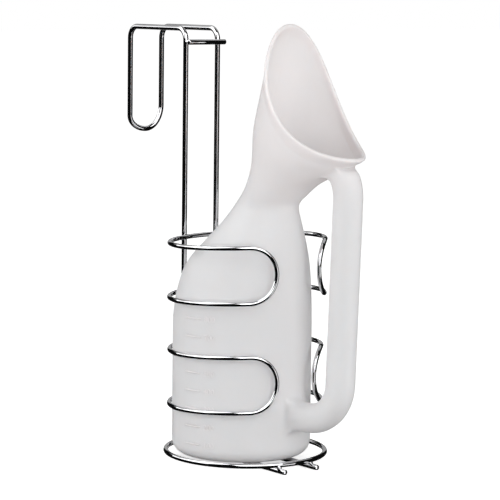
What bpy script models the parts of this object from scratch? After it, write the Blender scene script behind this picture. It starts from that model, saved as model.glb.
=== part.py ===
"""Urine bottle standing in its wire bed-rail holder.

The holder is five chromed wires: one long bent hanger wire that is also the two feet, a crossbar, two open
clip loops and a base ring. The bottle is one hollow moulding with a tubular handle, and lifts straight out.

Frame: +Z is up and z = 0 is the floor. +X points forward, from the bed-rail hook to the gap in the clips.
The origin is under the middle of the whole object's bounding box.
"""

import math
from collections import namedtuple

import bmesh
import bpy
from mathutils import Vector

# Fits: pieces that touch on the real object keep this gap between their solids.
TOUCH_GAP = 0.0003

# Wires
HANGER_WIRE = 0.0040
CLIP_WIRE = 0.0035
RING_WIRE = 0.0037

# Hanger wire
UPRIGHT_SPACING = 0.0292
RAIL_HEIGHT = 0.3147
HOOK_DEPTH = 0.0730
HOOK_DROP = 0.0790
HOOK_BEND = 0.0090
TURN_HEIGHT_LEFT = 0.0105
TURN_HEIGHT_RIGHT = 0.0185
FOOT_OVERHANG = 0.0080

# Crossbar
CROSSBAR_BELOW_RAIL = 0.0101
CROSSBAR_PAST_LEFT = 0.0008
CROSSBAR_PAST_RIGHT = 0.0039

# Bottle body, shoulder, neck and walls
BODY_RADIUS = 0.0512
BODY_HEIGHT = 0.100
BASE_CORNER = 0.0100
SHOULDER_HEIGHT = 0.085
NECK_RADIUS = 0.0219
NECK_OFFSET = 0.0248
WALL = 0.0014
LIP_WALL = 0.0022

# Shoulder: at a share of its height, how far the section has gone from the body's circle to the neck's
SHOULDER_CURVE = ((0.24, 0.06), (0.48, 0.205), (0.68, 0.49), (0.84, 0.775))

# Handle, a tube in the bottle's plane of symmetry, with room for fingers between it and the body
HANDLE_RADIUS = 0.0108
HANDLE_ROOT_HEIGHT = 0.0338
HANDLE_BELOW_LIP = 0.0275
FINGER_ROOM_LOW = 0.0315
FINGER_ROOM_HIGH = 0.0358
HANDLE_LOW_BEND = 0.0280
HANDLE_HIGH_BEND = 0.0300
HANDLE_TOP_TURN = math.radians(45)

# Mouth: its lip is a slanted oval, high at the back and low at the front, where it reaches past the handle
LIP_BACK_REACH = 0.0179
LIP_BACK_RISE = 0.1313
LIP_FRONT_RISE = 0.0375
LIP_PAST_HANDLE = 0.0092
LIP_HALF_WIDTH = 0.0375
LIP_BOW = 0.0195
LIP_SKEW = 0.25

# Clips: play is from the bottle's wall to the wire, gap play from the handle's side to the wire
UPPER_CLIP_PLAY = 0.00405
LOWER_CLIP_PLAY = 0.00295
UPPER_CLIP_HEIGHT = 0.1416
LOWER_CLIP_HEIGHT = 0.0626
CLIP_WIRE_SPACING = 0.0400
UPPER_GAP_PLAY = 0.0088
LOWER_GAP_PLAY = 0.0062
GAP_TURN = math.radians(6.5)
CLIP_RISE_FORWARD = math.radians(1.64)
CLIP_RISE_RIGHT = math.radians(1.53)

# Base ring
RING_PLAY = 0.0057
RING_SIDE_SHIFT = -0.0016

# The bottle stands loose in the holder: against the lower clip on this side, and turned in the clips' gap
BOTTLE_REST_SIDE = math.radians(-108)
BOTTLE_TURN = math.radians(11.5)

# What follows from the sizes above
HALF_SPACING = UPRIGHT_SPACING / 2
FOOT_HEIGHT = HANGER_WIRE / 2
RING_HEIGHT = HANGER_WIRE + TOUCH_GAP + RING_WIRE / 2
FOOT_BEND = RING_HEIGHT - FOOT_HEIGHT
BOTTLE_HEIGHT = HANGER_WIRE + TOUCH_GAP
CLIP_WELD = (HANGER_WIRE + CLIP_WIRE) / 2 + TOUCH_GAP
UPPER_CLIP_RADIUS = BODY_RADIUS + UPPER_CLIP_PLAY + CLIP_WIRE / 2
LOWER_CLIP_RADIUS = BODY_RADIUS + LOWER_CLIP_PLAY + CLIP_WIRE / 2
RING_RADIUS = BODY_RADIUS + RING_PLAY + RING_WIRE / 2
UPRIGHT_X = -(math.sqrt(UPPER_CLIP_RADIUS**2 - HALF_SPACING**2) + CLIP_WELD)

NECK_HEIGHT = BODY_HEIGHT + SHOULDER_HEIGHT
HANDLE_REACH_LOW = BODY_RADIUS + FINGER_ROOM_LOW + HANDLE_RADIUS
HANDLE_REACH_HIGH = BODY_RADIUS + FINGER_ROOM_HIGH + HANDLE_RADIUS
LIP_BACK = Vector((NECK_OFFSET + LIP_BACK_REACH, 0.0, NECK_HEIGHT + LIP_BACK_RISE))
LIP_FRONT = Vector((HANDLE_REACH_HIGH + LIP_PAST_HANDLE, 0.0, NECK_HEIGHT + LIP_FRONT_RISE))
LIP_LINE = (LIP_FRONT - LIP_BACK).normalized()

# Fineness of the solids
WIRE_ROUNDNESS = 2
HANDLE_ROUNDNESS = 4
BOTTLE_SIDES = 44
BASE_STEPS = 5
SECTION_STEPS = 3
CLIP_BEND_STEPS = 10
ARC_STEP = math.radians(9)
RING_STEP = math.radians(7.5)
SHARP_ANGLE = math.radians(40)
WELD_DISTANCE = 0.00001
CUT_PAST_LIP = 0.006

# One oval cross-section of the bottle: its back and front ends in the plane of symmetry, its half width, and
# how far its sides sag behind the line between the ends
Section = namedtuple("Section", "back_x back_z front_x front_z half_width bow")

# Mouth: how far each of a section's values has gone from the neck's to the lip's
MOUTH_CURVE = (
    Section(0.15, 0.12, 0.11, 0.20, 0.16, 0.0),
    Section(0.31, 0.27, 0.28, 0.42, 0.48, 0.0),
    Section(0.45, 0.47, 0.54, 0.61, 0.81, 0.10),
    Section(0.71, 0.72, 0.78, 0.78, 0.97, 0.51),
)


def clear_scene():
    for obj in list(bpy.data.objects):
        bpy.data.objects.remove(obj, do_unlink=True)


def new_collection(name):
    collection = bpy.data.collections.new(name)
    bpy.context.scene.collection.children.link(collection)
    return collection


def principled(name, colour, roughness, metallic, transmission=0.0):
    material = bpy.data.materials.new(name)
    material.use_nodes = True
    shader = material.node_tree.nodes["Principled BSDF"]
    shader.inputs["Base Color"].default_value = (*colour, 1.0)
    shader.inputs["Roughness"].default_value = roughness
    shader.inputs["Metallic"].default_value = metallic
    shader.inputs["Transmission Weight"].default_value = transmission
    return material


def arc(centre, first, second, start, end, step=ARC_STEP):
    """Points round a centre, where the angle turns from the first direction towards the second."""
    count = max(2, math.ceil(abs(end - start) / step))
    angles = [start + (end - start) * i / count for i in range(count + 1)]
    return [centre + first * math.cos(a) + second * math.sin(a) for a in angles]


def rounded_corner(before, corner, after, radius):
    """The arc that replaces one corner of a bent wire."""
    arriving = (corner - before).normalized()
    leaving = (after - corner).normalized()
    turn = arriving.angle(leaving)
    setback = radius * math.tan(turn / 2)
    outward = (arriving - leaving).normalized()
    centre = corner - outward * radius / math.cos(turn / 2)
    start = corner - arriving * setback
    first = (start - centre).normalized()
    return arc(centre, first * radius, arriving * radius, 0.0, turn)


def wire(name, points, thickness, material, closed=False, roundness=WIRE_ROUNDNESS, flat_down=False):
    """A round wire along its centreline, with flat cut ends unless it is a closed loop.

    A wire with flat_down lies on one of its facets, and is as thick as stated across them.
    """
    half_facet = math.pi / (4 + 2 * roundness)
    curve = bpy.data.curves.new(name, "CURVE")
    curve.dimensions = "3D"
    curve.bevel_depth = thickness / 2 / (math.cos(half_facet) if flat_down else 1.0)
    curve.bevel_resolution = roundness
    curve.use_fill_caps = not closed
    spline = curve.splines.new("POLY")
    spline.points.add(len(points) - 1)
    for place, point in zip(spline.points, points):
        place.co = (*point, 1.0)
        place.tilt = half_facet if flat_down else 0.0
    spline.use_cyclic_u = closed
    curve.materials.append(material)
    return bpy.data.objects.new(name, curve)


def mesh_from_curve(obj):
    """The same solid as a mesh, with its caps welded on, so that it can be cut and joined."""
    bpy.context.view_layer.update()
    evaluated = obj.evaluated_get(bpy.context.evaluated_depsgraph_get())
    mesh = bpy.data.meshes.new_from_object(evaluated)
    work = bmesh.new()
    work.from_mesh(mesh)
    bmesh.ops.remove_doubles(work, verts=work.verts, dist=WELD_DISTANCE)
    bmesh.ops.recalc_face_normals(work, faces=work.faces)
    work.to_mesh(mesh)
    work.free()
    solid = bpy.data.objects.new(obj.name, mesh)
    solid.matrix_world = obj.matrix_world
    bpy.data.objects.remove(obj, do_unlink=True)
    return solid


# Holder


def hanger_path():
    """Left foot tip, up the left upright, over and down the hook, round its turn, and the same way back."""
    back = UPRIGHT_X - HOOK_DEPTH
    turn_height = RAIL_HEIGHT - HOOK_DROP
    foot_tip = ring_centre().x + math.sqrt(RING_RADIUS**2 - HALF_SPACING**2) + FOOT_OVERHANG
    side = {}
    for name, y, rise in (
        ("left", -HALF_SPACING, TURN_HEIGHT_LEFT),
        ("right", HALF_SPACING, TURN_HEIGHT_RIGHT),
    ):
        tip = Vector((foot_tip, y, FOOT_HEIGHT))
        heel = Vector((UPRIGHT_X, y, FOOT_HEIGHT))
        shoulder = Vector((UPRIGHT_X, y, RAIL_HEIGHT))
        hook = Vector((back, y, RAIL_HEIGHT))
        turn_start = Vector((back, y, turn_height + rise))
        turn_middle = Vector((back, 0.0, turn_height + rise))
        outward = Vector((0.0, y, 0.0))
        side[name] = [tip]
        side[name] += rounded_corner(tip, heel, shoulder, FOOT_BEND)
        side[name] += rounded_corner(heel, shoulder, hook, HOOK_BEND)
        side[name] += rounded_corner(shoulder, hook, turn_start, HOOK_BEND)
        side[name] += arc(turn_middle, outward, Vector((0.0, 0.0, -rise)), 0.0, math.pi / 2)
    return side["left"] + side["right"][-2::-1]


def crossbar_path():
    x = UPRIGHT_X + HANGER_WIRE + TOUCH_GAP
    z = RAIL_HEIGHT - CROSSBAR_BELOW_RAIL
    left = -HALF_SPACING - CROSSBAR_PAST_LEFT
    right = HALF_SPACING + CROSSBAR_PAST_RIGHT
    return [Vector((x, left, z)), Vector((x, right, z))]


def clip_centre(radius):
    """The axis of a clip loop whose wire stands against the front of both uprights."""
    return UPRIGHT_X + CLIP_WELD + math.sqrt(radius**2 - HALF_SPACING**2)


def clip_path(radius, height, gap_play):
    """A closed loop wrapped on a cylinder: two arcs with a U turn at each side of the gap."""
    centre_x = clip_centre(radius)
    half = CLIP_WIRE_SPACING / 2
    half_gap = math.asin((HANDLE_RADIUS + gap_play + CLIP_WIRE / 2) / radius)
    end = half_gap + half / radius
    around = math.ceil((2 * math.pi - 2 * end) / ARC_STEP)
    sweep = [end + (2 * math.pi - 2 * end) * i / around for i in range(around + 1)]
    bend = [math.pi * i / CLIP_BEND_STEPS for i in range(1, CLIP_BEND_STEPS)]
    unrolled = [(angle, -half) for angle in sweep]
    unrolled += [(2 * math.pi - end + half / radius * math.sin(a), -half * math.cos(a)) for a in bend]
    unrolled += [(angle, half) for angle in reversed(sweep)]
    unrolled += [(end - half / radius * math.sin(a), half * math.cos(a)) for a in bend]
    points = []
    for angle, rise in unrolled:
        forward = radius * math.cos(angle + GAP_TURN)
        right = radius * math.sin(angle + GAP_TURN)
        lean = forward * math.tan(CLIP_RISE_FORWARD) + right * math.tan(CLIP_RISE_RIGHT)
        points.append(Vector((centre_x + forward, right, height + rise + lean)))
    return points


def ring_centre():
    """The base ring lies on both feet and touches the front of the upright nearer to it."""
    weld = (HANGER_WIRE + RING_WIRE) / 2 + TOUCH_GAP
    aside = HALF_SPACING - abs(RING_SIDE_SHIFT)
    x = UPRIGHT_X + weld + math.sqrt(RING_RADIUS**2 - aside**2)
    return Vector((x, RING_SIDE_SHIFT, RING_HEIGHT))


def ring_path():
    across = Vector((RING_RADIUS, 0.0, 0.0))
    along = Vector((0.0, RING_RADIUS, 0.0))
    return arc(ring_centre(), across, along, 0.0, 2 * math.pi, RING_STEP)[:-1]


# Bottle, in its own frame: the body's axis is the origin, the handle points along +X


def level_section(centre, radius, height):
    return Section(centre - radius, height, centre + radius, height, radius, 0.0)


def bottle_sections(wall, lip_wall):
    """The cross-sections that shape the shoulder, neck and mouth, each taken in by the wall."""
    body = level_section(0.0, BODY_RADIUS - wall, BODY_HEIGHT)
    neck = level_section(NECK_OFFSET, NECK_RADIUS - wall, NECK_HEIGHT)
    back = LIP_BACK + LIP_LINE * lip_wall
    front = LIP_FRONT - LIP_LINE * lip_wall
    lip = Section(back.x, back.z, front.x, front.z, LIP_HALF_WIDTH - lip_wall, LIP_BOW)
    sections = [body]
    for rise, share in SHOULDER_CURVE:
        radius = body.half_width + (neck.half_width - body.half_width) * share
        sections.append(level_section(NECK_OFFSET * share, radius, BODY_HEIGHT + SHOULDER_HEIGHT * rise))
    sections.append(neck)
    for shares in MOUTH_CURVE:
        sections.append(Section(*(a + (b - a) * share for a, b, share in zip(neck, lip, shares))))
    sections.append(lip)
    return sections


def smoothed(sections):
    """More sections between the given ones, along a curve that passes through all of them."""
    result = []
    last = len(sections) - 1
    for i in range(last):
        near = [sections[max(0, min(last, i + k))] for k in (-1, 0, 1, 2)]
        for step in range(SECTION_STEPS):
            t = step / SECTION_STEPS
            values = []
            for a, b, c, d in zip(*near):
                bend = (c - a) * t + (2 * a - 5 * b + 4 * c - d) * t**2 + (3 * b - a - 3 * c + d) * t**3
                values.append(b + bend / 2)
            result.append(Section(*values))
    result.append(sections[-1])
    return result


def section_points(ring):
    back = Vector((ring.back_x, 0.0, ring.back_z))
    front = Vector((ring.front_x, 0.0, ring.front_z))
    centre = (back + front) / 2
    half_length = (front - back) / 2
    behind = Vector((half_length.z, 0.0, -half_length.x)).normalized()
    points = []
    for i in range(BOTTLE_SIDES):
        angle = 2 * math.pi * i / BOTTLE_SIDES
        sag = ring.bow * math.sin(angle) ** 2 * (1 + LIP_SKEW * math.cos(angle))
        across = Vector((0.0, ring.half_width * math.sin(angle), 0.0))
        points.append(centre + half_length * math.cos(angle) + across + behind * sag)
    return points


def bottle_solid(name, wall, lip_wall, past_lip):
    """A closed solid of the bottle without its handle. With walls, it is the hollow inside."""
    corner = BASE_CORNER - wall
    radius = BODY_RADIUS - wall
    rings = []
    for i in range(BASE_STEPS + 1):
        angle = math.pi / 2 * i / BASE_STEPS
        ring_radius = radius - corner + corner * math.sin(angle)
        rings.append(level_section(0.0, ring_radius, wall + corner * (1 - math.cos(angle))))
    rings += smoothed(bottle_sections(wall, lip_wall))
    loops = [section_points(ring) for ring in rings]
    if past_lip:
        ahead = Vector((-LIP_LINE.z, 0.0, LIP_LINE.x))
        loops.append([point + ahead * past_lip for point in loops[-1]])
    return loft(name, loops)


def loft(name, loops):
    """A closed skin over loops with the same number of points, capped with a fan at each end."""
    work = bmesh.new()
    rows = [[work.verts.new(point) for point in loop] for loop in loops]
    sides = len(loops[0])
    for low, high in zip(rows, rows[1:]):
        for i in range(sides):
            j = (i + 1) % sides
            work.faces.new((low[i], low[j], high[j], high[i]))
    for row, flip in ((rows[0], True), (rows[-1], False)):
        middle = work.verts.new(sum((v.co for v in row), Vector()) / sides)
        for i in range(sides):
            pair = (row[i], row[(i + 1) % sides])
            work.faces.new((*(pair[::-1] if flip else pair), middle))
    bmesh.ops.recalc_face_normals(work, faces=work.faces)
    mesh = bpy.data.meshes.new(name)
    work.to_mesh(mesh)
    work.free()
    return bpy.data.objects.new(name, mesh)


def handle_path():
    """From inside the body out through the root, round the lower bend, up and into the mouth from below."""
    along = Vector((1.0, 0.0, 0.0))
    up = Vector((0.0, 0.0, 1.0))
    low = Vector((HANDLE_REACH_LOW, 0.0, HANDLE_ROOT_HEIGHT + HANDLE_LOW_BEND))
    high = Vector((HANDLE_REACH_HIGH, 0.0, LIP_FRONT.z - HANDLE_BELOW_LIP))
    points = [Vector((BODY_RADIUS - HANDLE_RADIUS, 0.0, HANDLE_ROOT_HEIGHT))]
    low_centre = low - along * HANDLE_LOW_BEND
    points += arc(low_centre, -up * HANDLE_LOW_BEND, along * HANDLE_LOW_BEND, 0.0, math.pi / 2)
    high_centre = high - along * HANDLE_HIGH_BEND
    points += [low.lerp(high, share) for share in (0.25, 0.5, 0.75)]
    points += arc(high_centre, along * HANDLE_HIGH_BEND, up * HANDLE_HIGH_BEND, 0.0, HANDLE_TOP_TURN)
    return points


def cut_or_join(target, tool, operation, cutters):
    cutters.objects.link(tool)
    tool.hide_render = True
    tool.display_type = "WIRE"
    modifier = target.modifiers.new(tool.name, "BOOLEAN")
    modifier.operation = operation
    modifier.solver = "EXACT"
    modifier.object = tool


def handle_tube(name, radius):
    return mesh_from_curve(wire(name, handle_path(), 2 * radius, None, roundness=HANDLE_ROUNDNESS))


def make_bottle(material, cutters):
    bottle = bottle_solid("bottle", 0.0, 0.0, 0.0)
    hollow = bottle_solid("bottle_hollow", WALL, LIP_WALL, CUT_PAST_LIP)
    cut_or_join(bottle, handle_tube("handle_outside", HANDLE_RADIUS), "UNION", cutters)
    cut_or_join(bottle, hollow, "DIFFERENCE", cutters)
    cut_or_join(bottle, handle_tube("handle_hollow", HANDLE_RADIUS - WALL), "DIFFERENCE", cutters)
    bottle.data.materials.append(material)
    bottle.data.shade_smooth()
    bottle.data.set_sharp_from_angle(angle=SHARP_ANGLE)
    return bottle


def bottle_spot():
    """The bottle's axis, where its wall meets the lower clip on the rest side."""
    lean = LOWER_CLIP_PLAY - TOUCH_GAP
    x = clip_centre(LOWER_CLIP_RADIUS) + lean * math.cos(BOTTLE_REST_SIDE)
    return Vector((x, lean * math.sin(BOTTLE_REST_SIDE), BOTTLE_HEIGHT))


def stand_on_origin(root, pieces):
    """Moves the whole object so that the origin is under the middle of its bounding box."""
    bpy.context.view_layer.update()
    depsgraph = bpy.context.evaluated_depsgraph_get()
    places = []
    for piece in pieces:
        evaluated = piece.evaluated_get(depsgraph)
        mesh = evaluated.to_mesh()
        places += [evaluated.matrix_world @ vertex.co for vertex in mesh.vertices]
        evaluated.to_mesh_clear()
    for axis in (0, 1):
        along = [place[axis] for place in places]
        root.location[axis] = -(min(along) + max(along)) / 2


def build():
    clear_scene()
    parts = new_collection("urine_bottle_and_holder")
    cutters = new_collection("cutters")
    cutters.hide_render = True
    chrome = principled("chrome", (0.78, 0.79, 0.80), 0.08, 1.0)
    plastic = principled("milky_plastic", (0.86, 0.86, 0.85), 0.38, 0.0, 0.15)

    root = bpy.data.objects.new("root", None)
    bottle_place = bpy.data.objects.new("bottle_place", None)
    bottle_place.parent = root
    bottle_place.location = bottle_spot()
    bottle_place.rotation_euler = (0.0, 0.0, BOTTLE_TURN)

    upper = clip_path(UPPER_CLIP_RADIUS, UPPER_CLIP_HEIGHT, UPPER_GAP_PLAY)
    lower = clip_path(LOWER_CLIP_RADIUS, LOWER_CLIP_HEIGHT, LOWER_GAP_PLAY)
    holder = [
        wire("hanger_wire", hanger_path(), HANGER_WIRE, chrome, flat_down=True),
        wire("crossbar", crossbar_path(), HANGER_WIRE, chrome),
        wire("upper_clip_loop", upper, CLIP_WIRE, chrome, closed=True),
        wire("lower_clip_loop", lower, CLIP_WIRE, chrome, closed=True),
        wire("base_ring", ring_path(), RING_WIRE, chrome, closed=True),
    ]
    bottle = make_bottle(plastic, cutters)
    for piece in holder:
        piece.parent = root
    bottle.parent = bottle_place
    for tool in cutters.objects:
        tool.parent = bottle_place
    for piece in (root, bottle_place, *holder, bottle):
        parts.objects.link(piece)
    stand_on_origin(root, [*holder, bottle])


build()
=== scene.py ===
"""Looks of the urine bottle and the chromed wire holder that it stands in.

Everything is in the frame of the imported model: metres, +Z up, +X from the bed-rail hook to the open side of
the clips. The wires are redrawn as true round wire with their weld nuggets, and the bottle as one blow
moulding with its hollow handle, rolled lip, mould seam and raised scale.
"""

import math
from collections import namedtuple

import bmesh
import bpy
from mathutils import Matrix, Quaternion, Vector


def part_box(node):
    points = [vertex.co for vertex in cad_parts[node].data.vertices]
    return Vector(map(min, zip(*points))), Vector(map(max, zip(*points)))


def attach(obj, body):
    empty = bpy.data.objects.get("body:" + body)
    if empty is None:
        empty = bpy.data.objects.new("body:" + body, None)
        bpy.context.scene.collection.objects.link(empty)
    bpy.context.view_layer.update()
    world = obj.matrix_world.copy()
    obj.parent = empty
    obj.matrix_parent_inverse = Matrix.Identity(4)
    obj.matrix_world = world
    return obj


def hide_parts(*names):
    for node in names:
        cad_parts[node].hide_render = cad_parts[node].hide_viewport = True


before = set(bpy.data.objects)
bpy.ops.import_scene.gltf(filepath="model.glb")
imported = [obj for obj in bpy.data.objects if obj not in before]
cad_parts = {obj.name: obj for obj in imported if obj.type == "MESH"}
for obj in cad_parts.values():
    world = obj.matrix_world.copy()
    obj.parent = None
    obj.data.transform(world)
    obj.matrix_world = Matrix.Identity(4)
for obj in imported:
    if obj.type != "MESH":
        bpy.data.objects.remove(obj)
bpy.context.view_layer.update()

# Wires
HANGER_WIRE = 0.0040
CLIP_WIRE = 0.0035
RING_WIRE = 0.0037
WELD_GAP = 0.0003
WELD_COLLAR = (0.0021, 0.0021, 0.0011)

# Hanger wire bends
HOOK_DEPTH = 0.0730
HOOK_DROP = 0.0790
HOOK_BEND = 0.0090
TURN_HEIGHT_LEFT = 0.0105
TURN_HEIGHT_RIGHT = 0.0185

# Clips and ring
UPPER_CLIP_RADIUS = 0.0570
LOWER_CLIP_RADIUS = 0.0559
UPPER_CLIP_HEIGHT = 0.1416
LOWER_CLIP_HEIGHT = 0.0626
CLIP_WIRE_SPACING = 0.0400
UPPER_HALF_GAP = 0.02135
LOWER_HALF_GAP = 0.01875
GAP_TURN = math.radians(6.5)
CLIP_RISE_FORWARD = math.radians(1.64)
CLIP_RISE_RIGHT = math.radians(1.53)
RING_RADIUS = 0.05875
RING_SIDE_SHIFT = -0.0016

# Bottle body, shoulder, neck and walls
BODY_RADIUS = 0.0512
BODY_HEIGHT = 0.100
BASE_CORNER = 0.0100
SHOULDER_HEIGHT = 0.085
NECK_RADIUS = 0.0219
NECK_OFFSET = 0.0248
WALL = 0.0014
LIP_WALL = 0.0032
LIP_SWELL = 0.0012
NECK_HEIGHT = BODY_HEIGHT + SHOULDER_HEIGHT
PUSH_UP = 0.0012
SEAM_RISE = 0.00012

# Shoulder: how far up each of its sections is, and how far it has gone from the body's size to the neck's
SHOULDER_CURVE = ((0.24, 0.06), (0.48, 0.205), (0.68, 0.49), (0.84, 0.775))

# How far the back of each of those sections, and of the neck's, stands out behind its circle
SHOULDER_BACK_FULLNESS = (0.0, 0.0, 0.0, 0.0026)
NECK_BACK_FULLNESS = 0.0042

# Handle
HANDLE_RADIUS = 0.0108
HANDLE_ROOT_HEIGHT = 0.0338
HANDLE_REACH_LOW = 0.0935
HANDLE_REACH_HIGH = 0.0978
HANDLE_TOP = 0.195
HANDLE_LOW_BEND = 0.0280
HANDLE_HIGH_BEND = 0.0300
HANDLE_TOP_TURN = math.radians(24)
ROOT_FLARE_LENGTH = 0.0085

# Mouth
LIP_BACK = Vector((0.0427, 0.0, 0.3163))
LIP_FRONT = Vector((0.1070, 0.0, 0.2225))
LIP_HALF_WIDTH = 0.0375
LIP_BOW = 0.0195
LIP_SKEW = 0.25

# How the bottle stands in the holder: leaning against the lower clip on one side, and turned in its gap
BOTTLE_TURN = math.radians(11.5)
BOTTLE_REST_SIDE = math.radians(-108)
BOTTLE_LEAN = 0.00265

# Raised scale: one line each 100 ml up the body, with its numeral to the right
SCALE_FIRST_HEIGHT = 0.0126
SCALE_STEP = 0.0131
SCALE_LINES = 8
SCALE_ANGLE = math.radians(-93)
SCALE_HALF_ANGLE = math.radians(8.5)
SCALE_LINE_HEIGHT = 0.0011
SCALE_PROUD = 0.00025
NUMERAL_HEIGHT = 0.0042
NUMERAL_ANGLE = math.radians(-81)

# Fineness
WIRE_SIDES = 20
BEND_STEP = math.radians(4)
LOOP_STEP = math.radians(3)
BOTTLE_SIDES = 96
HANDLE_SIDES = 32
SECTION_STEPS = 4
PATCH_STEPS = 5
LIP_STEPS = 6

# Painted shade on the neck and mouth: between these heights the plastic's colour falls to this share, for the
# shade under the lip and inside the mouth
NECK_SHADE_HEIGHTS = (0.175, 0.235)
NECK_SHADE_TONE = 0.91

# Where the handle is let into the skin: rows and columns of each hole, and the crease below
ROOT_ROWS = 10
ROOT_COLUMNS = 6
ROOT_HALF_HEIGHT = 0.0145
ROOT_CREASE = 0.8
TOP_ROWS = 6
TOP_COLUMNS = 10

# Rows of the rolled lip: how far back from its edge, and the share of its extra thickness there
LIP_BEAD = ((0.0120, 0.0), (0.0090, 0.15), (0.0065, 0.5), (0.0044, 0.85), (0.0022, 1.0))

Section = namedtuple("Section", "back_x back_z front_x front_z half_width bow")

# Mouth: how far each of a section's values has gone from the neck's to the lip's
MOUTH_CURVE = (
    Section(0.275, 0.12, 0.11, 0.20, 0.16, 0.0),
    Section(0.455, 0.27, 0.28, 0.42, 0.48, 0.0),
    Section(0.52, 0.47, 0.54, 0.61, 0.81, 0.10),
    Section(0.74, 0.72, 0.78, 0.78, 0.97, 0.51),
)

# View and studio
VIEW_AZIMUTH = math.radians(52.66)
VIEW_DROP = math.radians(6.73)
VIEW_ROLL = math.radians(0.68)
VIEW_DISTANCE = 1.6552
VIEW_LENS = 162.6
VIEW_AIM = Vector((0.0160, 0.0031, 0.15425))
OBJECT_MIDDLE = Vector((0.0, 0.0, 0.16))
FILL_LIGHT = 0.45


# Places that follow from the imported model

hanger_low, hanger_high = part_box("hanger_wire")
MIDDLE_Y = (hanger_low.y + hanger_high.y) / 2
HALF_SPACING = (hanger_high.y - hanger_low.y - HANGER_WIRE) / 2
RAIL_HEIGHT = hanger_high.z - HANGER_WIRE / 2
HOOK_X = hanger_low.x + HANGER_WIRE / 2
UPRIGHT_X = HOOK_X + HOOK_DEPTH
FOOT_TIP_X = hanger_high.x
FOOT_HEIGHT = HANGER_WIRE / 2
RING_HEIGHT = HANGER_WIRE + WELD_GAP + RING_WIRE / 2
FOOT_BEND = RING_HEIGHT - FOOT_HEIGHT
CLIP_WELD = (HANGER_WIRE + CLIP_WIRE) / 2 + WELD_GAP
crossbar_low, crossbar_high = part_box("crossbar")
BOTTLE_FOOT_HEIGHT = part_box("bottle")[0].z


# Node groups that more than one finish uses


def group_with(name, inputs, outputs):
    group = bpy.data.node_groups.new(name, "ShaderNodeTree")
    for label, kind, value in inputs:
        socket = group.interface.new_socket(label, in_out="INPUT", socket_type=kind)
        socket.default_value = value
    for label, kind in outputs:
        group.interface.new_socket(label, in_out="OUTPUT", socket_type=kind)
    return group, group.nodes.new("NodeGroupInput"), group.nodes.new("NodeGroupOutput")


def node(tree, kind, **values):
    """A node with its properties set by name, and its sockets by their labels with _ for a space."""
    made = tree.nodes.new(kind)
    for key, value in values.items():
        if hasattr(made, key):
            setattr(made, key, value)
        else:
            made.inputs[key.replace("_", " ")].default_value = value
    return made


def link(tree, source, target):
    tree.links.new(source, target)


def mottle_group():
    """A value that wanders slowly over a surface, for roughness and tone."""
    group, inner, outer = group_with(
        "mottle",
        [
            ("Scale", "NodeSocketFloat", 60.0),
            ("Low", "NodeSocketFloat", 0.0),
            ("High", "NodeSocketFloat", 1.0),
        ],
        [("Value", "NodeSocketFloat")],
    )
    place = node(group, "ShaderNodeTexCoord")
    noise = node(group, "ShaderNodeTexNoise", Detail=4.0, Roughness=0.55)
    spread = node(group, "ShaderNodeMapRange", From_Min=0.3, From_Max=0.7)
    link(group, place.outputs["Object"], noise.inputs["Vector"])
    link(group, inner.outputs["Scale"], noise.inputs["Scale"])
    link(group, noise.outputs["Fac"], spread.inputs["Value"])
    link(group, inner.outputs["Low"], spread.inputs["To Min"])
    link(group, inner.outputs["High"], spread.inputs["To Max"])
    link(group, spread.outputs["Result"], outer.inputs["Value"])
    return group


def fine_bump_group():
    """The normal of a surface with a fine, shallow unevenness."""
    group, inner, outer = group_with(
        "fine_bump",
        [
            ("Scale", "NodeSocketFloat", 400.0),
            ("Strength", "NodeSocketFloat", 0.1),
            ("Depth", "NodeSocketFloat", 0.0001),
        ],
        [("Normal", "NodeSocketVector")],
    )
    place = node(group, "ShaderNodeTexCoord")
    noise = node(group, "ShaderNodeTexNoise", Detail=3.0)
    bump = node(group, "ShaderNodeBump")
    link(group, place.outputs["Object"], noise.inputs["Vector"])
    link(group, inner.outputs["Scale"], noise.inputs["Scale"])
    link(group, noise.outputs["Fac"], bump.inputs["Height"])
    link(group, inner.outputs["Strength"], bump.inputs["Strength"])
    link(group, inner.outputs["Depth"], bump.inputs["Distance"])
    link(group, bump.outputs["Normal"], outer.inputs["Normal"])
    return group


MOTTLE = mottle_group()
FINE_BUMP = fine_bump_group()


def placed_group(tree, group, **values):
    made = node(tree, "ShaderNodeGroup")
    made.node_tree = group
    for key, value in values.items():
        made.inputs[key].default_value = value
    return made


def new_finish(name):
    material = bpy.data.materials.new(name)
    material.use_nodes = True
    return material, material.node_tree, material.node_tree.nodes["Principled BSDF"]


def bright_chrome():
    """Chrome plate on drawn wire: nearly a mirror, with a faint haze that comes and goes along the wire."""
    material, tree, shader = new_finish("bright_chrome_plate")
    shader.inputs["Metallic"].default_value = 1.0
    haze = placed_group(tree, MOTTLE, Scale=90.0, Low=0.03, High=0.075)
    link(tree, haze.outputs["Value"], shader.inputs["Roughness"])
    tone = placed_group(tree, MOTTLE, Scale=35.0, Low=0.0, High=1.0)
    colours = node(tree, "ShaderNodeMix", data_type="RGBA")
    colours.inputs["A"].default_value = (0.86, 0.86, 0.87, 1.0)
    colours.inputs["B"].default_value = (0.78, 0.78, 0.80, 1.0)
    link(tree, tone.outputs["Value"], colours.inputs["Factor"])
    link(tree, colours.outputs["Result"], shader.inputs["Base Color"])
    waves = placed_group(tree, FINE_BUMP, Scale=200.0, Strength=0.015, Depth=0.0001)
    link(tree, waves.outputs["Normal"], shader.inputs["Normal"])
    return material


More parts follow.
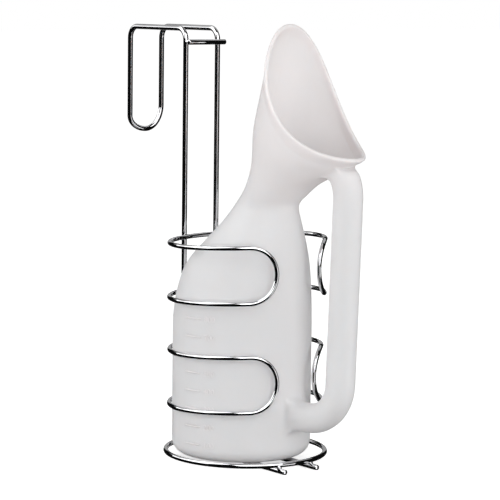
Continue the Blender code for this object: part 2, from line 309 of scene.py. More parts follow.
def milky_plastic(name, painted_lift, depth):
    """Natural blow-moulded polyethylene: satin, light passes into it and out again a little way off.

    The neck and mouth are painted a little greyer, as shade under the lip and inside the mouth.
    """
    material, tree, shader = new_finish(name)
    shader.inputs["Subsurface Weight"].default_value = depth
    shader.inputs["Subsurface Radius"].default_value = (1.0, 0.92, 0.88)
    shader.inputs["Subsurface Scale"].default_value = 0.004
    shader.inputs["IOR"].default_value = 1.5
    shader.inputs["Specular IOR Level"].default_value = 0.35
    satin = placed_group(tree, MOTTLE, Scale=45.0, Low=0.40, High=0.50)
    link(tree, satin.outputs["Value"], shader.inputs["Roughness"])
    cloud = placed_group(tree, MOTTLE, Scale=18.0, Low=0.0, High=1.0)
    colours = node(tree, "ShaderNodeMix", data_type="RGBA")
    # painted_lift scales the colour; above 1 it is painted light that lifts shade
    colours.inputs["A"].default_value = (0.880 * painted_lift, 0.846 * painted_lift, 0.848 * painted_lift, 1.0)
    colours.inputs["B"].default_value = (0.862 * painted_lift, 0.828 * painted_lift, 0.826 * painted_lift, 1.0)
    link(tree, cloud.outputs["Value"], colours.inputs["Factor"])
    # Painted shade: the colour darkens up the neck and mouth, for the shade under the lip and inside the
    # mouth
    place = node(tree, "ShaderNodeTexCoord")
    split = node(tree, "ShaderNodeSeparateXYZ")
    low, high = NECK_SHADE_HEIGHTS
    neck_shade = node(tree, "ShaderNodeMapRange", From_Min=low, From_Max=high, To_Min=1.0, To_Max=NECK_SHADE_TONE)
    toned = node(tree, "ShaderNodeMix", data_type="RGBA", blend_type="MULTIPLY", Factor=1.0)
    link(tree, place.outputs["Object"], split.inputs["Vector"])
    link(tree, split.outputs["Z"], neck_shade.inputs["Value"])
    link(tree, colours.outputs["Result"], toned.inputs["A"])
    link(tree, neck_shade.outputs["Result"], toned.inputs["B"])
    link(tree, toned.outputs["Result"], shader.inputs["Base Color"])
    grain = placed_group(tree, FINE_BUMP, Scale=700.0, Strength=0.10, Depth=0.0001)
    link(tree, grain.outputs["Normal"], shader.inputs["Normal"])
    return material


# Small helpers for shapes


def mesh_from(work, name):
    mesh = bpy.data.meshes.new(name)
    work.to_mesh(mesh)
    work.free()
    return mesh


def new_piece(name, mesh, material, body):
    piece = bpy.data.objects.new(name, mesh)
    bpy.context.scene.collection.objects.link(piece)
    mesh.materials.append(material)
    mesh.shade_smooth()
    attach(piece, body)
    return piece


def arc(centre, first, second, start, end, step):
    """Points round a centre, where the angle turns from the first direction towards the second."""
    count = max(2, math.ceil(abs(end - start) / step))
    angles = [start + (end - start) * i / count for i in range(count + 1)]
    return [centre + first * math.cos(a) + second * math.sin(a) for a in angles]


def rounded_corner(before, corner, after, radius):
    """The arc that replaces one corner of a bent wire."""
    arriving = (corner - before).normalized()
    leaving = (after - corner).normalized()
    turn = arriving.angle(leaving)
    setback = radius * math.tan(turn / 2)
    outward = (arriving - leaving).normalized()
    centre = corner - outward * radius / math.cos(turn / 2)
    first = (corner - arriving * setback - centre).normalized()
    return arc(centre, first * radius, arriving * radius, 0.0, turn, BEND_STEP)


def rings_along(points, closed, sides, radius, start_side=None):
    """Rings of points square to a path, carried along it without twist."""
    count = len(points)
    rings = []
    side = None
    for i, point in enumerate(points):
        before = points[i - 1] if (i or closed) else point
        after = points[(i + 1) % count] if (i + 1 < count or closed) else point
        along = (after - before).normalized()
        if side is None:
            side = start_side or along.orthogonal()
        side = (side - along * side.dot(along)).normalized()
        other = along.cross(side)
        ring = []
        for k in range(sides):
            angle = 2 * math.pi * k / sides
            ring.append(point + (side * math.cos(angle) + other * math.sin(angle)) * radius)
        rings.append(ring)
    return rings


def skin_rings(work, rings, closed=False):
    rows = [[work.verts.new(p) for p in ring] for ring in rings]
    pairs = list(zip(rows, rows[1:]))
    if closed:
        pairs.append((rows[-1], rows[0]))
    sides = len(rings[0])
    for low, high in pairs:
        for i in range(sides):
            j = (i + 1) % sides
            work.faces.new((low[i], low[j], high[j], high[i]))
    return rows


def wire_mesh(name, points, thickness, closed=False, end_round=0.0006):
    """True round wire. An open one has cut ends whose edges are broken by a small radius."""
    work = bmesh.new()
    radius = thickness / 2
    rings = rings_along(points, closed, WIRE_SIDES, radius)
    if closed:
        skin_rings(work, untwisted(points, rings), closed=True)
    else:
        rings = broken_end(rings[::-1], points[1], points[0], end_round)[::-1]
        rings = broken_end(rings, points[-2], points[-1], end_round)
        rows = skin_rings(work, rings)
        work.faces.new(rows[0][::-1])
        work.faces.new(rows[-1])
    bmesh.ops.recalc_face_normals(work, faces=work.faces)
    return mesh_from(work, name)


def untwisted(points, rings):
    """Rings of a closed loop, each turned a little so that the last one meets the first without a pinch."""
    last_along = (points[0] - points[-2]).normalized()
    first_along = (points[1] - points[-1]).normalized()
    carried = last_along.rotation_difference(first_along) @ (rings[-1][0] - points[-1])
    start = rings[0][0] - points[0]
    twist = math.atan2(carried.cross(start).dot(first_along), carried.dot(start))
    turned = []
    for i, (point, ring) in enumerate(zip(points, rings)):
        along = (points[(i + 1) % len(points)] - points[i - 1]).normalized()
        turn = Quaternion(along, twist * i / len(points))
        turned.append([point + turn @ (p - point) for p in ring])
    return turned


def broken_end(rings, before, end, size):
    """Rounds the edge of the last ring of a tube that ends square."""
    along = (end - before).normalized()
    ring = rings.pop()
    radius = (ring[0] - end).length
    for k in range(4):
        angle = math.pi / 2 * k / 3
        share = (radius - size + size * math.cos(angle)) / radius
        centre = end - along * size * (1 - math.sin(angle))
        rings.append([centre + (p - end) * share for p in ring])
    return rings


# Holder


def hanger_path():
    """Left foot tip, up the left upright, over and down the hook, round its turn, and the same way back."""
    turn_height = RAIL_HEIGHT - HOOK_DROP
    halves = []
    for y, rise in ((-HALF_SPACING, TURN_HEIGHT_LEFT), (HALF_SPACING, TURN_HEIGHT_RIGHT)):
        tip = Vector((FOOT_TIP_X, MIDDLE_Y + y, FOOT_HEIGHT))
        heel = Vector((UPRIGHT_X, MIDDLE_Y + y, FOOT_HEIGHT))
        shoulder = Vector((UPRIGHT_X, MIDDLE_Y + y, RAIL_HEIGHT))
        hook = Vector((HOOK_X, MIDDLE_Y + y, RAIL_HEIGHT))
        turn_start = Vector((HOOK_X, MIDDLE_Y + y, turn_height + rise))
        turn_middle = Vector((HOOK_X, MIDDLE_Y, turn_height + rise))
        outward = Vector((0.0, y, 0.0))
        half = [tip]
        half += rounded_corner(tip, heel, shoulder, FOOT_BEND)
        half += rounded_corner(heel, shoulder, hook, HOOK_BEND)
        half += rounded_corner(shoulder, hook, turn_start, HOOK_BEND)
        half += arc(turn_middle, outward, Vector((0.0, 0.0, -rise)), 0.0, math.pi / 2, BEND_STEP)
        halves.append(half)
    return halves[0] + halves[1][-2::-1]


def clip_centre(radius):
    """The axis of a clip loop whose wire is welded to the front of both uprights."""
    x = UPRIGHT_X + CLIP_WELD + math.sqrt(radius**2 - HALF_SPACING**2)
    return Vector((x, MIDDLE_Y, 0.0))


def clip_point(radius, height, angle, rise):
    forward = radius * math.cos(angle)
    right = radius * math.sin(angle)
    lean = forward * math.tan(CLIP_RISE_FORWARD) + right * math.tan(CLIP_RISE_RIGHT)
    return clip_centre(radius) + Vector((forward, right, height + rise + lean))


def clip_path(radius, height, half_gap):
    """A closed loop wrapped on a cylinder: two arcs with a U turn at each side of the gap."""
    half = CLIP_WIRE_SPACING / 2
    end = math.asin(half_gap / radius) + half / radius
    around = math.ceil((2 * math.pi - 2 * end) / LOOP_STEP)
    sweep = [end + (2 * math.pi - 2 * end) * i / around for i in range(around + 1)]
    turns = math.ceil(math.pi / BEND_STEP)
    bend = [math.pi * i / turns for i in range(1, turns)]
    unrolled = [(angle, -half) for angle in sweep]
    unrolled += [(2 * math.pi - end + half / radius * math.sin(a), -half * math.cos(a)) for a in bend]
    unrolled += [(angle, half) for angle in reversed(sweep)]
    unrolled += [(end - half / radius * math.sin(a), half * math.cos(a)) for a in bend]
    return [clip_point(radius, height, angle + GAP_TURN, rise) for angle, rise in unrolled]


def ring_centre():
    weld = (HANGER_WIRE + RING_WIRE) / 2 + WELD_GAP
    aside = HALF_SPACING - abs(RING_SIDE_SHIFT)
    x = UPRIGHT_X + weld + math.sqrt(RING_RADIUS**2 - aside**2)
    return Vector((x, MIDDLE_Y + RING_SIDE_SHIFT, RING_HEIGHT))


def ring_path():
    across = Vector((RING_RADIUS, 0.0, 0.0))
    along = Vector((0.0, RING_RADIUS, 0.0))
    return arc(ring_centre(), across, along, 0.0, 2 * math.pi, LOOP_STEP)[:-1]


def crossbar_path():
    x = (crossbar_low.x + crossbar_high.x) / 2
    z = (crossbar_low.z + crossbar_high.z) / 2
    return [Vector((x, crossbar_low.y, z)), Vector((x, crossbar_high.y, z))]


def weld_places():
    """Where two wires meet, and the direction from one wire's centre to the other's."""
    places = []
    forward = Vector((1.0, 0.0, 0.0))
    hanger_face = UPRIGHT_X + HANGER_WIRE / 2 + WELD_GAP / 2
    bar_height = (crossbar_low.z + crossbar_high.z) / 2
    for y in (-HALF_SPACING, HALF_SPACING):
        places.append((Vector((hanger_face, MIDDLE_Y + y, bar_height)), forward))
        for radius, height in (
            (UPPER_CLIP_RADIUS, UPPER_CLIP_HEIGHT),
            (LOWER_CLIP_RADIUS, LOWER_CLIP_HEIGHT),
        ):
            angle = math.pi - math.asin(y / radius)
            for rise in (-CLIP_WIRE_SPACING / 2, CLIP_WIRE_SPACING / 2):
                meeting = clip_point(radius, height, angle, rise)
                places.append((Vector((hanger_face, meeting.y, meeting.z)), forward))
        up = Vector((0.0, 0.0, 1.0))
        aside = y - RING_SIDE_SHIFT
        ahead = math.sqrt(RING_RADIUS**2 - aside**2)
        level = HANGER_WIRE + WELD_GAP / 2
        places.append((Vector((ring_centre().x + ahead, MIDDLE_Y + y, level)), up))
    places.append((Vector((hanger_face, MIDDLE_Y - HALF_SPACING, RING_HEIGHT)), forward))
    return places


def weld_mesh(name):
    """The small collars of metal that squeeze out where two crossing wires are resistance welded."""
    work = bmesh.new()
    for place, normal in weld_places():
        turn = normal.to_track_quat("Z", "Y").to_matrix().to_4x4()
        squash = Matrix.Diagonal((*WELD_COLLAR, 1.0))
        matrix = Matrix.Translation(place) @ turn @ squash
        bmesh.ops.create_icosphere(work, subdivisions=3, radius=1.0, matrix=matrix)
    return mesh_from(work, name)


def make_holder(chrome):
    wires = (
        ("bent_hanger_wire", "hanger_wire", hanger_path(), HANGER_WIRE, False),
        ("welded_crossbar", "crossbar", crossbar_path(), HANGER_WIRE, False),
        (
            "upper_clip_wire",
            "upper_clip_loop",
            clip_path(UPPER_CLIP_RADIUS, UPPER_CLIP_HEIGHT, UPPER_HALF_GAP),
            CLIP_WIRE,
            True,
        ),
        (
            "lower_clip_wire",
            "lower_clip_loop",
            clip_path(LOWER_CLIP_RADIUS, LOWER_CLIP_HEIGHT, LOWER_HALF_GAP),
            CLIP_WIRE,
            True,
        ),
        ("base_ring_wire", "base_ring", ring_path(), RING_WIRE, True),
    )
    for name, replaced, points, thickness, closed in wires:
        piece = new_piece(name, wire_mesh(name, points, thickness, closed), chrome, "holder")
        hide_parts(replaced)
    welds = new_piece("weld_nuggets", weld_mesh("weld_nuggets"), chrome, "holder")


# Bottle, in its own frame: the body's axis is the origin, the handle points along +X


def level_section(centre, radius, height):
    return Section(centre - radius, height, centre + radius, height, radius, 0.0)


def mouth_sections():
    """The cross-sections that shape the shoulder, neck and mouth."""
    body = level_section(0.0, BODY_RADIUS, BODY_HEIGHT)
    neck = level_section(NECK_OFFSET, NECK_RADIUS, NECK_HEIGHT)
    neck = neck._replace(back_x=neck.back_x - NECK_BACK_FULLNESS)
    lip = Section(LIP_BACK.x, LIP_BACK.z, LIP_FRONT.x, LIP_FRONT.z, LIP_HALF_WIDTH, LIP_BOW)
    sections = [body]
    for (rise, share), fullness in zip(SHOULDER_CURVE, SHOULDER_BACK_FULLNESS):
        radius = BODY_RADIUS + (NECK_RADIUS - BODY_RADIUS) * share
        ring = level_section(NECK_OFFSET * share, radius, BODY_HEIGHT + SHOULDER_HEIGHT * rise)
        sections.append(ring._replace(back_x=ring.back_x - fullness))
    sections.append(neck)
    for shares in MOUTH_CURVE:
        sections.append(Section(*(a + (b - a) * share for a, b, share in zip(neck, lip, shares))))
    sections.append(lip)
    return sections


def smoothed(sections):
    """More sections between the given ones, along a curve that passes through all of them."""
    result = []
    last = len(sections) - 1
    for i in range(last):
        near = [sections[max(0, min(last, i + k))] for k in (-1, 0, 1, 2)]
        for step in range(SECTION_STEPS):
            t = step / SECTION_STEPS
            values = []
            for a, b, c, d in zip(*near):
                bend = (c - a) * t + (2 * a - 5 * b + 4 * c - d) * t**2 + (3 * b - a - 3 * c + d) * t**3
                values.append(b + bend / 2)
            result.append(Section(*values))
    result.append(sections[-1])
    return result


def section_points(ring):
    back = Vector((ring.back_x, 0.0, ring.back_z))
    front = Vector((ring.front_x, 0.0, ring.front_z))
    centre = (back + front) / 2
    half_length = (front - back) / 2
    behind = Vector((half_length.z, 0.0, -half_length.x)).normalized()
    points = []
    for i in range(BOTTLE_SIDES):
        angle = 2 * math.pi * i / BOTTLE_SIDES
        sag = ring.bow * math.sin(angle) ** 2 * (1 + LIP_SKEW * math.cos(angle))
        across = Vector((0.0, ring.half_width * math.sin(angle), 0.0))
        points.append(centre + half_length * math.cos(angle) + across + behind * sag)
    return points


def bottle_rows():
    """Rows of the outer skin from the underside's rim to the lip, and the first row of each handle hole."""
    rows = []
    for i in range(6):
        angle = math.pi / 2 * i / 5
        ring_radius = BODY_RADIUS - BASE_CORNER + BASE_CORNER * math.sin(angle)
        rows.append(level_section(0.0, ring_radius, BASE_CORNER * (1 - math.cos(angle))))
    root_low = HANDLE_ROOT_HEIGHT - ROOT_HALF_HEIGHT
    rows.append(level_section(0.0, BODY_RADIUS, (BASE_CORNER + root_low) / 2))
    root_row = len(rows)
    for i in range(ROOT_ROWS + 1):
        rows.append(level_section(0.0, BODY_RADIUS, root_low + 2 * ROOT_HALF_HEIGHT * i / ROOT_ROWS))
    root_high = HANDLE_ROOT_HEIGHT + ROOT_HALF_HEIGHT
    for i in range(1, 8):
        rows.append(level_section(0.0, BODY_RADIUS, root_high + (BODY_HEIGHT - root_high) * i / 8))
    rows += smoothed(mouth_sections())
    top_row = len(rows) - 3 - TOP_ROWS
    loops = [section_points(ring) for ring in rows]
    columns = list(zip(*loops[-4:]))
    beaded = [[back_from_lip(column, reach) for column in columns] for reach, _ in LIP_BEAD]
    return loops[:-3] + beaded, root_row, top_row


def back_from_lip(column, reach):
    """The place on a column of points that is a given way back from its last one."""
    point = column[-1]
    for before in reversed(column[:-1]):
        length = (before - point).length
        if reach <= length:
            return point.lerp(before, reach / length)
        reach -= length
        point = before
    return point


def hole_edge(rows, first_row, row_count, column_count):
    """The vertices round a rectangular hole that is centred on the front column, in order."""
    half = column_count // 2
    last_row = first_row + row_count
    edge = [rows[first_row][c % BOTTLE_SIDES] for c in range(-half, half)]
    edge += [rows[r][half] for r in range(first_row, last_row)]
    edge += [rows[last_row][c % BOTTLE_SIDES] for c in range(half, -half, -1)]
    edge += [rows[r][-half % BOTTLE_SIDES] for r in range(last_row, first_row, -1)]
    return edge


def inside_hole(row, column, first_row, row_count, column_count):
    half = column_count // 2
    return first_row <= row < first_row + row_count and (column < half or column >= BOTTLE_SIDES - half)


def handle_rings():
    """The rings of the handle's tube, from just outside the root's flare to just under the mouth."""
    along = Vector((1.0, 0.0, 0.0))
    up = Vector((0.0, 0.0, 1.0))
    low = Vector((HANDLE_REACH_LOW, 0.0, HANDLE_ROOT_HEIGHT + HANDLE_LOW_BEND))
    high = Vector((HANDLE_REACH_HIGH, 0.0, HANDLE_TOP))
    points = [Vector((BODY_RADIUS + ROOT_FLARE_LENGTH, 0.0, HANDLE_ROOT_HEIGHT))]
    low_centre = low - along * HANDLE_LOW_BEND
    low_down = -up * HANDLE_LOW_BEND
    low_forward = along * HANDLE_LOW_BEND
    points += arc(low_centre, low_down, low_forward, 0.0, math.pi / 2, 2 * BEND_STEP)
    high_centre = high - along * HANDLE_HIGH_BEND
    points += [low.lerp(high, i / 12) for i in range(1, 12)]
    high_forward = along * HANDLE_HIGH_BEND
    high_up = up * HANDLE_HIGH_BEND
    points += arc(high_centre, high_forward, high_up, 0.0, HANDLE_TOP_TURN, BEND_STEP)
    return rings_along(points, False, HANDLE_SIDES, HANDLE_RADIUS, Vector((0.0, -1.0, 0.0)))


def blend_patch(work, edge, edge_inward, ring, ring_along, pull_edge, pull_ring):
    """Loops of a fillet from a hole's edge to a tube's ring, leaving each one in its own direction."""
    order = best_order([v.co for v in edge], [v.co for v in ring])
    ends = [ring[i] for i in order]
    loops = [edge]
    for step in range(1, PATCH_STEPS):
        t = step / PATCH_STEPS
        weights = (
            2 * t**3 - 3 * t**2 + 1,
            t**3 - 2 * t**2 + t,
            3 * t**2 - 2 * t**3,
            t**3 - t**2,
        )
        loop = []
        for vertex, inward, end in zip(edge, edge_inward, ends):
            point = vertex.co * weights[0] + inward * pull_edge * weights[1]
            point += end.co * weights[2] + ring_along * pull_ring * weights[3]
            loop.append(work.verts.new(point))
        loops.append(loop)
    loops.append(ends)
    count = len(edge)
    for low, high in zip(loops, loops[1:]):
        for i in range(count):
            j = (i + 1) % count
            work.faces.new((low[i], low[j], high[j], high[i]))


def best_order(edge, ring):
    """Which ring point each edge point goes to: the turn and direction with the shortest total way."""
    count = len(edge)
    best = None
    for direction in (1, -1):
        for start in range(count):
            order = [(start + direction * i) % count for i in range(count)]
            total = sum((edge[i] - ring[order[i]]).length for i in range(count))
            if best is None or total < best[0]:
                best = (total, order)
    return best[1]


def inward_directions(edge):
    """From each vertex of a hole's edge towards the hole's middle, along the surface."""
    middle = sum((v.co for v in edge), Vector()) / len(edge)
    directions = []
    for vertex in edge:
        vertex.normal_update()
        inward = middle - vertex.co
        inward -= vertex.normal * inward.dot(vertex.normal)
        directions.append(inward.normalized())
    return directions


def bottle_cage():
    """The outer skin as a coarse cage: body, shoulder, neck and mouth, with the handle let in at its ends."""
    work = bmesh.new()
    layer = work.verts.layers.float.new("lip_share")
    loops, root_row, top_row = bottle_rows()
    rows = [[work.verts.new(p) for p in loop] for loop in loops]
    for r in range(len(rows) - 1):
        for c in range(BOTTLE_SIDES):
            if inside_hole(r, c, root_row, ROOT_ROWS, ROOT_COLUMNS):
                continue
            if inside_hole(r, c, top_row, TOP_ROWS, TOP_COLUMNS):
                continue
            d = (c + 1) % BOTTLE_SIDES
            work.faces.new((rows[r][c], rows[r][d], rows[r + 1][d], rows[r + 1][c]))
    add_underside(work, rows[0])
    tube = skin_rings(work, handle_rings())
    work.normal_update()
    root_edge = hole_edge(rows, root_row, ROOT_ROWS, ROOT_COLUMNS)
    top_edge = hole_edge(rows, top_row, TOP_ROWS, TOP_COLUMNS)
    outward = ring_direction(tube[0], tube[1])
    creased = []
    for inward in inward_directions(root_edge):
        share = ROOT_CREASE * abs(inward.y) ** 2
        creased.append((inward * (1 - share) + outward * share).normalized())
    blend_patch(work, root_edge, creased, tube[0], outward, 0.012, 0.012)
    upward = ring_direction(tube[-2], tube[-1])
    blend_patch(work, top_edge, inward_directions(top_edge), tube[-1], -upward, 0.008, 0.016)
    loose = [v for v in work.verts if not v.link_faces]
    bmesh.ops.delete(work, geom=loose, context="VERTS")
    bmesh.ops.recalc_face_normals(work, faces=work.faces)
    for row, (_, share) in zip(rows[-len(LIP_BEAD):], LIP_BEAD):
        for vertex in row:
            if vertex.is_valid:
                vertex[layer] = share
    return work


def ring_direction(first, second):
    opposite = HANDLE_SIDES // 2
    one_side = second[0].co - first[0].co
    other_side = second[opposite].co - first[opposite].co
    return (one_side + other_side).normalized()


def add_underside(work, rim):
    """The bottle stands on a flat rim; inside it the middle is pushed up a little."""
    previous = rim
    for share, rise in ((0.93, 0.0), (0.86, 0.15), (0.78, 0.75), (0.70, 1.0), (0.45, 1.0), (0.2, 1.0)):
        loop = []
        for vertex in rim:
            loop.append(work.verts.new((vertex.co.x * share, vertex.co.y * share, PUSH_UP * rise)))
        for i in range(BOTTLE_SIDES):
            j = (i + 1) % BOTTLE_SIDES
            work.faces.new((loop[i], loop[j], previous[j], previous[i]))
        previous = loop
    middle = work.verts.new((0.0, 0.0, PUSH_UP))
    for i in range(BOTTLE_SIDES):
        work.faces.new((middle, previous[(i + 1) % BOTTLE_SIDES], previous[i]))


def refined(work, name, levels):
    """The cage's mesh after subdivision."""
    cage = bpy.data.objects.new(name + "_cage", mesh_from(work, name + "_cage"))
    bpy.context.scene.collection.objects.link(cage)
    modifier = cage.modifiers.new("subdivide", "SUBSURF")
    modifier.levels = levels
    modifier.render_levels = levels
    bpy.context.view_layer.update()
    depsgraph = bpy.context.evaluated_depsgraph_get()
    fine = bpy.data.meshes.new_from_object(cage.evaluated_get(depsgraph))
    bpy.data.objects.remove(cage, do_unlink=True)
    return fine


def walled(fine, name):
    """Gives the outer skin its wall: an inner skin inside it, and a round lip between them."""
    work = bmesh.new()
    work.from_mesh(fine)
    layer = work.verts.layers.float["lip_share"]
    outer = list(work.verts)
    normals = [v.normal.copy() for v in outer]
    for vertex, normal in zip(outer, normals):
        if abs(vertex.co.y) < 0.00001:
            vertex.co += normal * SEAM_RISE
    inner = []
    for vertex, normal in zip(outer, normals):
        share = vertex[layer]
        wall = WALL + (LIP_WALL - WALL) * share
        vertex.co += normal * LIP_SWELL * share
        inner.append(work.verts.new(vertex.co - normal * wall))
    work.verts.index_update()
    number = {v: i for i, v in enumerate(outer)}
    outer_faces = list(work.faces)
    for face in outer_faces:
        work.faces.new([inner[number[v]] for v in reversed(face.verts)])
    open_edges = [e for e in work.edges if len(e.link_faces) == 1]
    rim = [e for e in open_edges if e.verts[0] in number and e.verts[1] in number]
    lip_loops(work, rim, number, inner)
    bmesh.ops.recalc_face_normals(work, faces=work.faces)
    return mesh_from(work, name)


def lip_loops(work, rim, number, inner):
    """Half round strip that joins the outer skin's open edge to the inner skin's."""
    across = {}
    ahead = {}
    for edge in rim:
        face = edge.link_faces[0]
        middle = face.calc_center_median()
        for vertex in edge.verts:
            away = vertex.co - middle
            side = (edge.verts[1].co - edge.verts[0].co).normalized()
            away -= side * away.dot(side)
            ahead[vertex] = ahead.get(vertex, Vector()) + away.normalized()
    for vertex, direction in ahead.items():
        far = inner[number[vertex]]
        half = (vertex.co - far.co) / 2
        centre = (vertex.co + far.co) / 2
        direction.normalize()
        strip = [vertex]
        for k in range(1, LIP_STEPS):
            angle = math.pi * k / LIP_STEPS
            point = centre + half * math.cos(angle) + direction * half.length * math.sin(angle)
            strip.append(work.verts.new(point))
        strip.append(far)
        across[vertex] = strip
    for edge in rim:
        first, second = (across[v] for v in edge.verts)
        for k in range(LIP_STEPS):
            work.faces.new((first[k], first[k + 1], second[k + 1], second[k]))


def scale_lines_mesh(name):
    """Raised lines up the side of the body, each a low bar with sloped sides, wrapped on the wall."""
    work = bmesh.new()
    profile = (
        (-SCALE_LINE_HEIGHT / 2, -0.00005),
        (-SCALE_LINE_HEIGHT * 0.28, SCALE_PROUD),
        (SCALE_LINE_HEIGHT * 0.28, SCALE_PROUD),
        (SCALE_LINE_HEIGHT / 2, -0.00005),
    )
    steps = 10
    for i in range(SCALE_LINES):
        height = SCALE_FIRST_HEIGHT + SCALE_STEP * i
        rings = []
        for k in range(steps + 1):
            angle = SCALE_ANGLE + SCALE_HALF_ANGLE * (2 * k / steps - 1)
            low_end = 0.0 if k in (0, steps) else 1.0
            ring = []
            for rise, proud in profile:
                radius = BODY_RADIUS + (proud if proud < 0 else proud * low_end)
                ring.append(Vector((radius * math.cos(angle), radius * math.sin(angle), height + rise)))
            rings.append(ring)
        rows = skin_rings(work, rings)
        work.faces.new(rows[0][::-1])
        work.faces.new(rows[-1])
    bmesh.ops.recalc_face_normals(work, faces=work.faces)
    return mesh_from(work, name)


def numeral_mesh(number):
    """One numeral as a thin raised solid, wrapped on the wall beside its line."""
    curve = bpy.data.curves.new("numeral", "FONT")
    curve.body = str(number)
    curve.size = NUMERAL_HEIGHT * 1.4
    curve.extrude = SCALE_PROUD
    curve.align_y = "CENTER"
    obj = bpy.data.objects.new("numeral", curve)
    bpy.context.scene.collection.objects.link(obj)
    bpy.context.view_layer.update()
    mesh = bpy.data.meshes.new_from_object(obj.evaluated_get(bpy.context.evaluated_depsgraph_get()))
    bpy.data.objects.remove(obj, do_unlink=True)
    height = SCALE_FIRST_HEIGHT + SCALE_STEP * (number // 100 - 1)
    for vertex in mesh.vertices:
        angle = NUMERAL_ANGLE + vertex.co.x / BODY_RADIUS
        radius = BODY_RADIUS + max(vertex.co.z, -0.0001)
        place = (radius * math.cos(angle), radius * math.sin(angle), height + vertex.co.y)
        vertex.co = place
    return mesh


def bottle_place():
    lean = Vector((math.cos(BOTTLE_REST_SIDE), math.sin(BOTTLE_REST_SIDE), 0.0)) * BOTTLE_LEAN
    spot = clip_centre(LOWER_CLIP_RADIUS) + lean + Vector((0.0, 0.0, BOTTLE_FOOT_HEIGHT))
    return Matrix.Translation(spot) @ Matrix.Rotation(BOTTLE_TURN, 4, "Z")


def make_bottle(plastic, marks):
    place = bottle_place()
    mesh = walled(refined(bottle_cage(), "bottle", 1), "bottle_moulding")
    mesh.transform(place)
    bottle = new_piece("bottle_moulding", mesh, plastic, "bottle")
    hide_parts("bottle")
    lines = scale_lines_mesh("scale_lines")
    lines.transform(place)
    new_piece("scale_lines", lines, marks, "bottle")
    for i in range(1, SCALE_LINES + 1):
        name = f"numeral_{100 * i}"
        mesh = numeral_mesh(100 * i)
        mesh.name = name
        mesh.transform(place)
        piece = new_piece(name, mesh, marks, "bottle")
        mesh.set_sharp_from_angle(angle=math.radians(40))


# Studio


def make_camera():
    right = Vector((math.cos(VIEW_AZIMUTH), math.sin(VIEW_AZIMUTH), 0.0))
    level = Vector((-math.sin(VIEW_AZIMUTH), math.cos(VIEW_AZIMUTH), 0.0))
    forward = level * math.cos(VIEW_DROP) + Vector((0.0, 0.0, -math.sin(VIEW_DROP)))
    up = right.cross(forward)
    rolled_right = right * math.cos(VIEW_ROLL) + up * math.sin(VIEW_ROLL)
    rolled_up = up * math.cos(VIEW_ROLL) - right * math.sin(VIEW_ROLL)
    data = bpy.data.cameras.new("camera")
    data.lens = VIEW_LENS
    data.sensor_width = 36.0
    camera = bpy.data.objects.new("camera", data)
    bpy.context.scene.collection.objects.link(camera)
    turn = Matrix((rolled_right, rolled_up, -forward)).transposed().to_4x4()
    camera.matrix_world = Matrix.Translation(VIEW_AIM - forward * VIEW_DISTANCE) @ turn
    bpy.context.scene.camera = camera


def camera_direction(azimuth, elevation):
    """A direction named as the camera sees it: azimuth 0 is towards the camera, and 90 is to its right."""
    right = Vector((math.cos(VIEW_AZIMUTH), math.sin(VIEW_AZIMUTH), 0.0))
    towards = Vector((math.sin(VIEW_AZIMUTH), -math.cos(VIEW_AZIMUTH), 0.0))
    turn = math.radians(azimuth)
    rise = math.radians(elevation)
    level = towards * math.cos(turn) + right * math.sin(turn)
    return level * math.cos(rise) + Vector((0.0, 0.0, math.sin(rise)))


def facing(place, aim):
    return (aim - place).to_track_quat("-Z", "Y")


def soft_light(name, azimuth, elevation, distance, size, power):
    """A softbox that lights the plastic; the wires see the cards instead."""
    data = bpy.data.lights.new(name, "AREA")
    data.shape = "RECTANGLE"
    data.size, data.size_y = size
    data.energy = power
    lamp = bpy.data.objects.new(name, data)
    bpy.context.scene.collection.objects.link(lamp)
    lamp.location = OBJECT_MIDDLE + camera_direction(azimuth, elevation) * distance
    lamp.rotation_mode = "QUATERNION"
    lamp.rotation_quaternion = facing(lamp.location, OBJECT_MIDDLE)
    lamp.visible_camera = False
    lamp.visible_glossy = False


def card_material(name, brightness):
    material = bpy.data.materials.new(name)
    material.use_nodes = True
    tree = material.node_tree
    tree.nodes.clear()
    glow = node(tree, "ShaderNodeEmission", Strength=brightness)
    out = node(tree, "ShaderNodeOutputMaterial")
    link(tree, glow.outputs["Emission"], out.inputs["Surface"])
    return material


def card(name, azimuth, elevation, distance, size, brightness):
    """A pale card on a stand that only shows as a reflection in the bright wires."""
    work = bmesh.new()
    bmesh.ops.create_grid(work, x_segments=1, y_segments=1, size=0.5)
    bmesh.ops.scale(work, vec=(size[0], size[1], 1.0), verts=work.verts)
    mesh = mesh_from(work, name)
    mesh.materials.append(card_material(name, brightness))
    board = bpy.data.objects.new(name, mesh)
    bpy.context.scene.collection.objects.link(board)
    board.location = OBJECT_MIDDLE + camera_direction(azimuth, elevation) * distance
    board.rotation_mode = "QUATERNION"
    board.rotation_quaternion = facing(board.location, OBJECT_MIDDLE)
    board.visible_camera = False
    board.visible_diffuse = False
    board.visible_transmission = False
    board.visible_shadow = False


def make_floor():
    work = bmesh.new()
    bmesh.ops.create_grid(work, x_segments=1, y_segments=1, size=12.0)
    mesh = mesh_from(work, "floor")
    material, tree, shader = new_finish("pale_floor")
    shader.inputs["Base Color"].default_value = (0.95, 0.95, 0.95, 1.0)
    shader.inputs["Emission Color"].default_value = (1.0, 1.0, 1.0, 1.0)
    shader.inputs["Emission Strength"].default_value = 0.62
    shader.inputs["Roughness"].default_value = 0.9
    shader.inputs["Specular IOR Level"].default_value = 0.0
    ray = node(tree, "ShaderNodeLightPath")
    dull = node(tree, "ShaderNodeBsdfDiffuse", Color=(0.56, 0.55, 0.55, 1.0))
    choice = node(tree, "ShaderNodeMixShader")
    link(tree, ray.outputs["Is Camera Ray"], choice.inputs["Fac"])
    link(tree, dull.outputs["BSDF"], choice.inputs[1])
    link(tree, shader.outputs["BSDF"], choice.inputs[2])
    link(tree, choice.outputs["Shader"], tree.nodes["Material Output"].inputs["Surface"])
    mesh.materials.append(material)
    floor = bpy.data.objects.new("floor", mesh)
    bpy.context.scene.collection.objects.link(floor)
    floor.visible_glossy = False


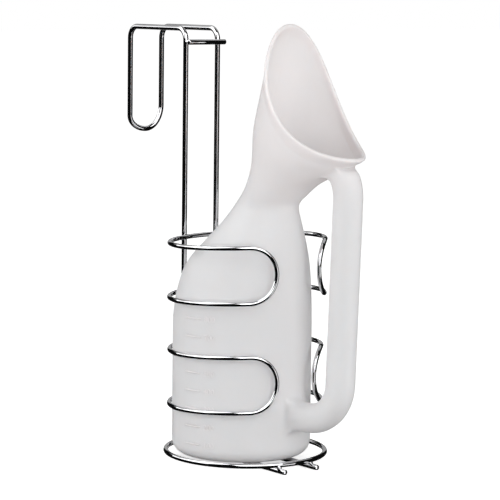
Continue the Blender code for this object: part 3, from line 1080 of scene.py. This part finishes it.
def make_world():
    """White all round for the eye, an even soft fill for the plastic, and a dark room for the wires."""
    world = bpy.data.worlds.new("studio")
    world.use_nodes = True
    bpy.context.scene.world = world
    tree = world.node_tree
    tree.nodes.clear()
    ray = node(tree, "ShaderNodeLightPath")
    fill = node(tree, "ShaderNodeBackground", Color=(1.0, 1.0, 1.0, 1.0), Strength=FILL_LIGHT)
    white = node(tree, "ShaderNodeBackground", Color=(1.0, 1.0, 1.0, 1.0), Strength=1.0)
    dark = node(tree, "ShaderNodeBackground", Color=(0.95, 0.97, 1.0, 1.0), Strength=0.004)
    seen = node(tree, "ShaderNodeMixShader")
    mirrored = node(tree, "ShaderNodeMixShader")
    out = node(tree, "ShaderNodeOutputWorld")
    link(tree, ray.outputs["Is Camera Ray"], seen.inputs["Fac"])
    link(tree, fill.outputs["Background"], seen.inputs[1])
    link(tree, white.outputs["Background"], seen.inputs[2])
    link(tree, ray.outputs["Is Glossy Ray"], mirrored.inputs["Fac"])
    link(tree, seen.outputs["Shader"], mirrored.inputs[1])
    link(tree, dark.outputs["Background"], mirrored.inputs[2])
    link(tree, mirrored.outputs["Shader"], out.inputs["Surface"])


def make_studio():
    make_camera()
    make_floor()
    make_world()
    soft_light("front_softbox", 18.0, 40.0, 3.5, (2.4, 2.4), 22.0)
    soft_light("left_softbox", -85.0, 12.0, 2.4, (1.6, 1.6), 25.0)
    soft_light("back_left_softbox", -130.0, 12.0, 2.4, (1.6, 1.6), 4.0)
    soft_light("right_softbox", 75.0, 12.0, 2.4, (1.6, 1.6), 13.0)
    soft_light("low_front_softbox", 10.0, 3.0, 1.4, (1.4, 0.5), 7.5)
    card("front_overhead_card", 22.0, 33.0, 2.0, (2.4, 2.0), 2.4)
    card("left_overhead_card", -90.0, 42.0, 2.0, (3.0, 2.5), 2.0)
    card("back_overhead_card", 165.0, 55.0, 2.0, (2.4, 1.4), 0.45)
    card("back_card", 180.0, -4.0, 2.0, (1.3, 1.3), 0.35)
    card("back_left_card", -130.0, 38.0, 2.0, (1.4, 1.2), 0.5)
    card("right_side_card", 60.0, -14.0, 2.0, (0.9, 0.8), 1.3)
    bpy.context.scene.view_settings.view_transform = "Standard"


def write_sizes():
    """Brings the scene's placements up to date."""
    bpy.context.view_layer.update()


make_studio()
make_holder(bright_chrome())
# The raised marks are the same plastic painted 2% paler, to lift the shade that falls on the thin raised
# lines
make_bottle(milky_plastic("milky_polyethylene", 1.0, 1.0), milky_plastic("raised_marks", 1.02, 0.0))
write_sizes()
